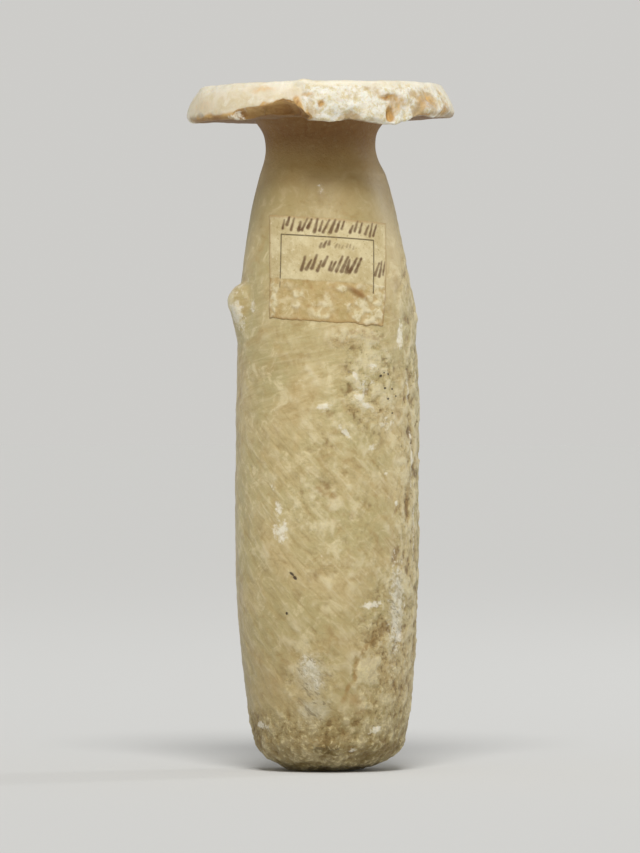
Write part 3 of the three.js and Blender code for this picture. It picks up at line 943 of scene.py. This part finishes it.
def mark_frame(azimuth, height, slant):
    """The place of a mark on the body, and the rotation whose X runs along it, slant degrees above level."""
    turn = math.radians(azimuth)
    point = Vector(body_points(np.array([turn]), np.array([float(height)]))[0])
    outwards = Vector((math.sin(turn), -math.cos(turn), 0))
    sideways = Vector((math.cos(turn), math.sin(turn), 0))
    along = sideways * math.cos(math.radians(slant)) + Vector((0, 0, 1)) * math.sin(math.radians(slant))
    across = outwards.cross(along)
    return tuple(point), tuple(Matrix((along, across, outwards)).transposed().to_euler())


def colour(red, green, blue):
    """A linear colour from its screen values, 0 to 255."""
    return tuple((value / 255) ** 2.2 for value in (red, green, blue)) + (1.0,)


def stone_material():
    """Cream alabaster, weathered brown with painted shade, scuffed white with painted highlights, and pale
    where it is broken.
    """
    shader = Shader("alabaster")
    place = shader.coordinates
    names = ("rough", "broken", "dirt_and_shade", "relief", "rim", "pale", "brown", "grey")
    rough, broken, dirt_and_shade, relief, rim, pale, brown, grey = (shader.attribute(name) for name in names)
    height = shader.add("ShaderNodeSeparateXYZ", {0: place}).outputs["Z"]

    # The body's own colour: cloudy cream and olive tan, with fine mottling.
    clouds = shader.noise(place, 19, 4, 0.55)
    mottle = shader.noise(place, 4.6, 6, 0.68, 0.7)
    flecks = shader.noise(place, 1.4, 4, 0.7)
    warmth = shader.noise(place, 8, 5, 0.6, 0.8)
    tone = shader.tinted(
        shader.between(clouds, 0.38, 0.62, (203, 183, 134), (189, 174, 124)),
        (warmth, 0.5, 0.68, 0.4, (190, 160, 104)),
        (mottle, 0.5, 0.68, 0.8, (226, 211, 167)),
        (mottle, 0.48, 0.3, 0.75, (176, 149, 98)),
    )

    # Tool strokes that fall to the right over the body, and nearly level ones on its upper left.
    broad = shader.noise(shader.twisted(2.2, 2.2, 4.6), 1, 2, 0.45, 0.5)
    thin = shader.noise(shader.twisted(2.2, 0.9, 2.8), 1, 2, 0.5, 0.4)
    level = shader.noise(shader.twisted(-6.4, 3.8, 1.7), 1, 1, 0.4, 0.6)
    strokes = shader.mean(level, shader.mean(broad, thin, 0.3), shader.ramp(height, 100, 84))
    worked = shader.product(shader.ramp(height, 138, 112, 0.15, 1), shader.ramp(height, 84, 100, 1, 0.45))
    # The strokes are paler where raised and darker where sunk: partly their own tone, partly painted light
    # and shade.
    raised = shader.ramp(strokes, 0.52, 0.68, 0, 0.6)
    tone = shader.mix(shader.product(raised, worked), tone, colour(221, 206, 164))
    sunk = shader.ramp(strokes, 0.47, 0.32, 0, 0.5)
    tone = shader.mix(shader.product(sunk, worked), tone, colour(168, 143, 90))

    # Painted highlight where the surface stands out and painted shade where it lies back, and darker towards
    # the foot.
    # Then the shoulder is dull olive, and the neck is stained amber.
    tone = shader.tinted(
        tone,
        (relief, 0.52, 0.75, 0.75, (227, 214, 176)),
        (relief, 0.47, 0.2, 0.75, (146, 116, 68)),
        (height, 75, 5, 0.42, (144, 123, 76)),
        (height, 126, 146, 0.35, (160, 140, 92)),
        (height, 138, 158, 0.45, (206, 168, 98)),
    )
    tone = shader.mix(shader.ragged(brown, mottle, 0.2, 1.1, 0.7), tone, colour(156, 122, 66))

    # The rim is paler than the body. The fresh break is paler still, with painted shade in its hollows, and
    # the scar beside it is brown, partly stain and partly painted shade.
    polished = shader.between(mottle, 0.36, 0.6, (238, 226, 194), (252, 246, 228))
    tone = shader.mix(shader.product(rim, 0.95), tone, polished)
    fresh = shader.between(flecks, 0.34, 0.6, (224, 208, 164), (252, 249, 236))
    fresh = shader.tinted(fresh, (relief, 0.44, -0.05, 0.8, (192, 160, 106)))
    tone = shader.mix(broken, tone, fresh)
    rim_brown_and_shade = shader.between(mottle, 0.38, 0.6, (170, 118, 54), (224, 182, 112))
    # Brown on the rim: stain, and painted shade in its scars and hollows and along its lower edge.
    tone = shader.mix(shader.ragged(shader.product(brown, rim), mottle, 0.1, 0.5, 0.92, 0.5), tone, rim_brown_and_shade)

    # Dirt and painted shade lie over both: brown painted shade and stain under the rim, and olive dirt at the
    # foot.
    dirt_and_shade_tone = shader.between(clouds, 0.35, 0.65, (120, 79, 27), (134, 93, 33))
    dirt_and_shade_tone = shader.tinted(dirt_and_shade_tone, (height, 110, 60, 1, (116, 96, 48)))
    tone = shader.mix(shader.product(dirt_and_shade, shader.ramp(flecks, 0.3, 0.6, 1.0, 0.92)), tone, dirt_and_shade_tone)

    # Where the stone is rough, painted highlight on the crests and painted shade in the hollows show through
    # the dirt, broken up by fine crumbs.
    crumbs = shader.noise(place, 1.1, 3, 0.6, 0.4)
    lumpy = shader.maths("MULTIPLY_ADD", relief, 0.4, shader.maths("SUBTRACT", crumbs, 0.2))
    crests = shader.product(shader.ramp(lumpy, 0.54, 0.7), shader.ramp(rough, 0.1, 0.8, 0.08, 0.6))
    tone = shader.mix(crests, tone, colour(218, 203, 156))
    hollows = shader.product(shader.ramp(lumpy, 0.46, 0.3), shader.ramp(rough, 0.2, 0.9, 0.04, 0.6))
    tone = shader.mix(hollows, tone, colour(112, 88, 44))

    # White scuffs with painted highlights on the rim and the left lug, chalky grey patches with dark streaks,
    # and dark specks.
    tone = shader.mix(shader.ragged(pale, flecks, 0.3, 0.95, 0.85, 1.3), tone, colour(240, 233, 212))
    tone = shader.mix(shader.ragged(grey, mottle, 0.2, 1.2, 0.6), tone, colour(194, 188, 166))
    streaks = shader.noise(shader.twisted(2.6, 1.1, 1.8), 1, 4, 0.65, 1.0)
    ash = shader.product(shader.ramp(grey, 0.15, 0.7), shader.ramp(streaks, 0.48, 0.34, 0, 0.65))
    tone = shader.mix(ash, tone, colour(116, 102, 72))
    specks = shader.ramp(shader.marks(place, SPECKS), 0.05, 0.5, 0, 0.9)
    tone = shader.mix(specks, tone, colour(66, 50, 36))
    shader.put(shader.surface.inputs["Base Color"], tone)

    # Worn polish: waxy where it is smooth, dull where it is rough, broken, dirty or painted with shade.
    dull = shader.maths("MAXIMUM", shader.maths("MAXIMUM", rough, broken), dirt_and_shade)
    uneven = shader.ramp(mottle, 0.3, 0.7, -0.06, 0.08)
    gloss = shader.maths("ADD", shader.ramp(dull, 0, 1, 0.42, 0.66), uneven)
    shader.put(shader.surface.inputs["Roughness"], gloss)
    shader.constants(
        {
            "Specular IOR Level": 0.5,
            "Sheen Weight": 0.12,
            "Sheen Roughness": 0.3,
            "Sheen Tint": colour(232, 240, 244),
            "Subsurface Weight": 0.12,
            "Subsurface Radius": (1.0, 0.75, 0.45),
            "Subsurface Scale": 1.5 * MM,
        }
    )

    # Fine relief.
    grain = shader.noise(place, 0.8, 4, 0.65)
    normal = shader.bump(shader.product(grain, shader.ramp(dull, 0, 1, 0.3, 1)), 0.4)
    stroked = shader.product(strokes, shader.product(worked, 0.7))
    normal = shader.bump(shader.mean(stroked, flecks, shader.ramp(rough, 0, 1, 0.1, 0.6)), 0.45, normal)
    normal = shader.bump(shader.maths("SUBTRACT", 1.0, specks), 0.3, normal)
    shader.put(shader.surface.inputs["Normal"], normal)
    return shader.material


# The label

# Places on the sheet are in millimetres, across and up from its middle.
#
# Faded ink: rows of slanting dabs that spell nothing. Each row gives its height, the places of its marks, the
# dabs' length and thickness, and how dark they are.
INK_ROWS = [
    {"up": 11.4, "across": (-10.8, -6.3, -2.1, 2.1, 6.9, 11.3), "length": 3.6, "thick": 0.68, "dark": 1.0},
    {"up": 6.8, "across": (-1.0,), "length": 1.7, "thick": 0.55, "dark": 0.9},
    {"up": 6.5, "across": (2.6, 5.4), "length": 1.3, "thick": 0.42, "dark": 0.6},
    {"up": 1.9, "across": (-5.0, -0.9, 2.7, 6.3), "length": 4.2, "thick": 0.74, "dark": 1.0},
    {"up": 1.5, "across": (14.3,), "length": 4.0, "thick": 0.6, "dark": 0.95},
]
RULED_LEFT, RULED_RIGHT, RULED_TOP, RULED_BOTTOM = -12.7, 12.1, 8.65, -4.9
RULED_WIDTH = 0.26

# Where the printed face is torn off, and the scraps of it that are left: place, half-widths and how much.
TEAR_HEIGHT = -2.6
SCRAPS = [
    (-7.4, -7.4, 1.8, 2.9, 1.0),
    (-10.6, -4.3, 1.6, 1.1, 0.8),
    (-1.0, -10.2, 2.6, 2.6, 1.0),
    (0.6, -7.0, 1.5, 2.2, 0.9),
    (-4.0, -10.4, 1.3, 1.0, 0.7),
    (3.6, -4.0, 3.6, 0.9, 1.0),
    (8.4, -3.4, 2.0, 0.9, 0.8),
    (11.2, -9.4, 5.0, 4.0, 1.8),
    (14.0, -6.0, 2.8, 5.0, 1.6),
    (-14.6, -9.4, 1.4, 4.6, 1.4),
    (-14.4, -5.0, 1.8, 2.4, 1.0),
    (-9.5, -12.4, 4.2, 0.8, 0.6),
]


def ink_mask(across, up):
    """The ink on the sheet, from 0 to 1."""
    chance = random.Random(4)
    places = np.stack([across, up, 0 * up], axis=1)
    waver = 0.14 * noise(places, 0.9, 61)
    ink = np.zeros(len(across))
    for row in INK_ROWS:
        for place in row["across"]:
            for dab in (-1, 0, 1):
                length = row["length"] * chance.uniform(0.5, 1.0)
                lean = math.radians(chance.uniform(12, 28))
                x = across - place - 1.9 * row["thick"] * dab
                y = up - row["up"] - chance.uniform(-0.5, 0.5) * (row["length"] - length)
                along = np.clip(x * math.sin(lean) + y * math.cos(lean), -0.5 * length, 0.5 * length)
                distance = np.hypot(x - along * math.sin(lean), y - along * math.cos(lean)) + waver
                half = 0.5 * row["thick"] * chance.uniform(0.8, 1.25) * (1 - 0.5 * along / length)
                ink = np.maximum(ink, row["dark"] * (1 - smoothstep(distance, half - 0.18, half + 0.18)))
    return np.clip(ink * (0.85 + 0.35 * noise(places, 1.6, 62)), 0, 1)


def label_grid():
    """The sheet's grid: columns, rows, and each point's place across and up, with ragged edges."""
    columns = round(LABEL_WIDTH / LABEL_STEP)
    rows = round(LABEL_HEIGHT / LABEL_STEP)
    u, v = np.meshgrid(np.linspace(-0.5, 0.5, columns + 1), np.linspace(-0.5, 0.5, rows + 1))
    u, v = u.ravel(), v.ravel()
    flat = np.stack([u * LABEL_WIDTH, v * LABEL_HEIGHT, 0 * u], axis=1)
    width = lerp(LABEL_FOOT_WIDTH, LABEL_WIDTH, v + 0.5) + 0.35 * layered_noise(flat * (0, 1, 0), 3, 81)
    tear = 0.5 + 1.1 * layered_noise(flat * (1, 0, 0), 4.4, 83, layers=4, fall=0.6)
    bottom = -0.5 * LABEL_HEIGHT + np.clip(tear, -0.2, 1.6)
    top = 0.5 * LABEL_HEIGHT + 0.12 * noise(flat * (1, 0, 0), 2.0, 85)
    return columns, rows, u, v, u * width, lerp(bottom, top, v + 0.5)


def label_wear(across, up):
    """Where the printed face is gone, how wrinkled what is left is, and where it is folded over."""
    places = np.stack([across, up, 0 * up], axis=1)
    uneven = layered_noise(places, 2.4, 87, layers=3, fall=0.6)
    below = smoothstep(TEAR_HEIGHT + 0.35 * noise(places * (1, 0, 0), 1.6, 88) - up, -0.15, 0.15)
    left = np.zeros(len(across))
    for x, y, half_across, half_up, share in SCRAPS:
        distance = np.hypot((across - x) / half_across, (up - y) / half_up)
        left = np.maximum(left, share * (1 - smoothstep(distance + 1.2 * uneven, 0.45, 1.35)))
    fold = 1 - smoothstep(np.hypot((across - 7.6) / 2.6, (up + 5.0 + 0.5 * (across - 7.6)) / 0.9), 0.3, 1.5)
    left = np.minimum(left, 1)
    return below * (1 - left), below * left, below * fold


def label_mesh(material):
    """The sheet: two grids, bent on the stone, joined round their ragged edge."""
    columns, rows, u, v, across, up = label_grid()
    places = np.stack([across, up, 0 * up], axis=1)
    torn, scrap, fold = label_wear(across, up)
    wrinkles = layered_noise(places, 2.2, 89, layers=3, fall=0.6)
    lift = LABEL_THICKNESS * (1 - 0.7 * torn) + scrap * (0.06 + 0.45 * wrinkles) + 0.35 * fold
    lift += 0.14 * torn * np.maximum(wrinkles, -0.4) + 0.02 * wrinkles
    edge = np.minimum((0.5 - np.abs(u)) * LABEL_WIDTH, (0.5 - np.abs(v)) * LABEL_HEIGHT)

    skew = math.radians(-LABEL_SKEW)
    x = across * math.cos(skew) - up * math.sin(skew)
    z = LABEL_CENTRE * BODY_LENGTH + across * math.sin(skew) + up * math.cos(skew)
    azimuth = math.radians(LABEL_AZIMUTH) + x / outer_radius(z)
    front = body_points(azimuth, z, lift * smoothstep(edge, -0.4, 0.25) + 0.02)
    back = body_points(azimuth, z, -0.12)
    total, width = len(front), columns + 1
    faces = []
    for row in range(rows):
        for column in range(columns):
            a = row * width + column
            faces.append((a, a + 1, a + 1 + width, a + width))
            faces.append((total + a, total + a + width, total + a + 1 + width, total + a + 1))
    border = list(range(columns))
    border += [row * width + columns for row in range(rows)]
    border += [rows * width + column for column in range(columns, 0, -1)]
    border += [row * width for row in range(rows, 0, -1)]
    for a, b in zip(border, border[1:] + border[:1]):
        faces.append((a, total + a, total + b, b))

    rust = layered_noise(places, 3.2, 93, layers=3)
    outline = 0.9 * torn * scrap + 0.9 * smoothstep(rust, 0.15, 0.5) * torn
    values = {
        "ink": ink_mask(across, up) * (1 - torn),
        "torn": torn,
        "browned": np.clip(0.8 * (1 - smoothstep(edge, 0, 0.9)) + outline, 0, 1),
        "folded": fold,
        "lifted": np.clip(0.5 + 1.4 * scrap * wrinkles, 0, 1),
        "sheet": places,
    }
    attributes = {key: np.concatenate([value, value]) for key, value in values.items()}
    return make_object("label_sheet", np.concatenate([front, back]), faces, attributes, material)


def ruled_frame(shader, sheet):
    """The mask of the ruled frame: three thin lines, open below."""
    parts = shader.add("ShaderNodeSeparateXYZ", {0: sheet}).outputs
    across, up = parts["X"], parts["Y"]

    def within(axis, low, high):
        return shader.product(shader.ramp(axis, low - 0.1, low), shader.ramp(axis, high + 0.1, high))

    def line(axis, at, length):
        distance = shader.maths("ABSOLUTE", shader.maths("SUBTRACT", axis, at))
        return shader.product(shader.ramp(distance, RULED_WIDTH, 0.08), length)

    upright = within(up, RULED_BOTTOM, RULED_TOP)
    sides = shader.maths("MAXIMUM", line(across, RULED_LEFT, upright), line(across, RULED_RIGHT, upright))
    return shader.maths("MAXIMUM", sides, line(up, RULED_TOP, within(across, RULED_LEFT, RULED_RIGHT)))


def paper_material():
    """Aged paper: cream with brown foxing, a thin ruled frame and faded ink, and tan where it is torn."""
    shader = Shader("aged_paper")
    sheet = shader.add("ShaderNodeAttribute", attribute_name="sheet").outputs["Vector"]
    torn = shader.attribute("torn")
    stain = shader.noise(sheet, 6, 5, 0.6)
    fibre = shader.noise(sheet, 1.1, 5, 0.7)
    shreds = shader.noise(sheet, 3.4, 5, 0.65, 0.8)
    lifted = shader.attribute("lifted")
    tone = shader.tinted(
        shader.between(stain, 0.38, 0.62, (222, 207, 164), (202, 184, 138)),
        (fibre, 0.46, 0.28, 0.8, (168, 145, 94)),
        (fibre, 0.54, 0.7, 0.6, (240, 228, 192)),
        # Painted highlight on the scraps' raised wrinkles, and painted shade in their sunk ones.
        (lifted, 0.5, 0.8, 0.6, (236, 224, 190)),
        (lifted, 0.5, 0.25, 0.6, (190, 160, 108)),
    )
    bare = shader.tinted(
        shader.between(stain, 0.4, 0.6, (188, 166, 114), (198, 172, 120)),
        (shreds, 0.5, 0.68, 0.75, (224, 207, 164)),
        (shreds, 0.46, 0.3, 0.5, (166, 130, 80)),
        (fibre, 0.5, 0.7, 0.4, (222, 204, 160)),
        (fibre, 0.46, 0.3, 0.45, (164, 134, 82)),
    )
    tone = shader.mix(torn, tone, bare)
    tone = shader.mix(shader.product(shader.attribute("browned"), 0.6), tone, colour(158, 114, 60))
    # Painted shadow under the folded flap, in brown.
    tone = shader.mix(shader.product(shader.attribute("folded"), 0.75), tone, colour(134, 92, 44))

    lines = shader.product(ruled_frame(shader, sheet), shader.ramp(fibre, 0.3, 0.5, 0.4, 0.85))
    tone = shader.mix(shader.product(lines, shader.maths("SUBTRACT", 1.0, torn)), tone, colour(78, 64, 42))
    tone = shader.mix(shader.product(shader.attribute("ink"), 0.92), tone, colour(92, 60, 36))
    shader.put(shader.surface.inputs["Base Color"], tone)
    shader.constants({"Roughness": 0.85, "Specular IOR Level": 0.3})
    shader.put(shader.surface.inputs["Normal"], shader.bump(fibre, 0.2))
    return shader.material


# Floor, light and camera


# The tone of the lit floor matches the one beyond its far edge.
FLOOR_TONE = colour(217, 218, 218)
BACKDROP_TONE = colour(204, 203, 200)


def floor():
    mesh = bpy.data.meshes.new("floor")
    half = 30.0
    corners = [(-half, -half, 0), (half, -half, 0), (half, half, 0), (-half, half, 0)]
    mesh.from_pydata(corners, [], [(0, 1, 2, 3)])
    plane = bpy.data.objects.new("floor", mesh)
    bpy.context.scene.collection.objects.link(plane)
    shader = Shader("pale_floor")
    shader.constants({"Base Color": FLOOR_TONE, "Roughness": 0.9, "Specular IOR Level": 0.1})
    mesh.materials.append(shader.material)


def light(name, kind, place, energy, tint, **settings):
    """A light that shines on the middle of the vase from a place in metres."""
    data = bpy.data.lights.new(name, kind)
    data.energy = energy
    data.color = tint
    for key, value in settings.items():
        setattr(data, key, value)
    lamp = bpy.data.objects.new(name, data)
    lamp.location = place
    lamp.rotation_mode = "QUATERNION"
    lamp.rotation_quaternion = (Vector((0, 0, 0.09)) - Vector(place)).to_track_quat("-Z", "Y")
    bpy.context.scene.collection.objects.link(lamp)


def light_the_scene():
    """A broad soft key from above the camera, a light along each edge, and an even fill."""
    light("key", "SUN", (0.02, -1.15, 1.48), 2.28, (1.0, 0.985, 0.955), angle=math.radians(24))
    strip = {"shape": "RECTANGLE", "size_y": 1.0}
    light("left_edge", "AREA", (-1.3, 0.85, 0.4), 0.5, (0.94, 0.98, 1.0), size=0.2, **strip)
    light("right_edge", "AREA", (1.3, 0.7, 0.45), 4.8, (0.95, 0.985, 1.0), size=0.25, **strip)
    world = bpy.data.worlds.new("studio")
    world.use_nodes = True
    tree = world.node_tree
    soft = tree.nodes["Background"]
    soft.inputs["Color"].default_value = colour(224, 222, 218)
    soft.inputs["Strength"].default_value = 0.44
    seen = tree.nodes.new("ShaderNodeBackground")
    seen.inputs["Color"].default_value = BACKDROP_TONE
    mixed = tree.nodes.new("ShaderNodeMixShader")
    tree.links.new(tree.nodes.new("ShaderNodeLightPath").outputs["Is Camera Ray"], mixed.inputs["Fac"])
    tree.links.new(soft.outputs["Background"], mixed.inputs[1])
    tree.links.new(seen.outputs["Background"], mixed.inputs[2])
    tree.links.new(mixed.outputs["Shader"], tree.nodes["World Output"].inputs["Surface"])
    bpy.context.scene.world = world
    bpy.context.scene.view_settings.view_transform = "Standard"


# The photograph: where its camera stood, and how many millimetres one of its pixels spans at the vase.
PHOTO_SIZE = (640, 853)
PIXEL = 0.256
CAMERA_DISTANCE = 1700
CAMERA_X = 0.06
CAMERA_Z = 87.9


def camera():
    data = bpy.data.cameras.new("camera")
    data.sensor_width = 36
    data.lens = data.sensor_width * CAMERA_DISTANCE / (PHOTO_SIZE[1] * PIXEL)
    data.clip_end = 100
    eye = bpy.data.objects.new("camera", data)
    eye.location = (CAMERA_X * MM, -CAMERA_DISTANCE * MM, CAMERA_Z * MM)
    eye.rotation_euler = (math.radians(90), 0, 0)
    bpy.context.scene.collection.objects.link(eye)
    bpy.context.scene.camera = eye


def main():
    stone = stone_mesh(stone_material())
    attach(stone, "root")
    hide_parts("vase")
    sheet = label_mesh(paper_material())
    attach(sheet, "root")
    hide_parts("paper_label")
    floor()
    light_the_scene()
    camera()


main()
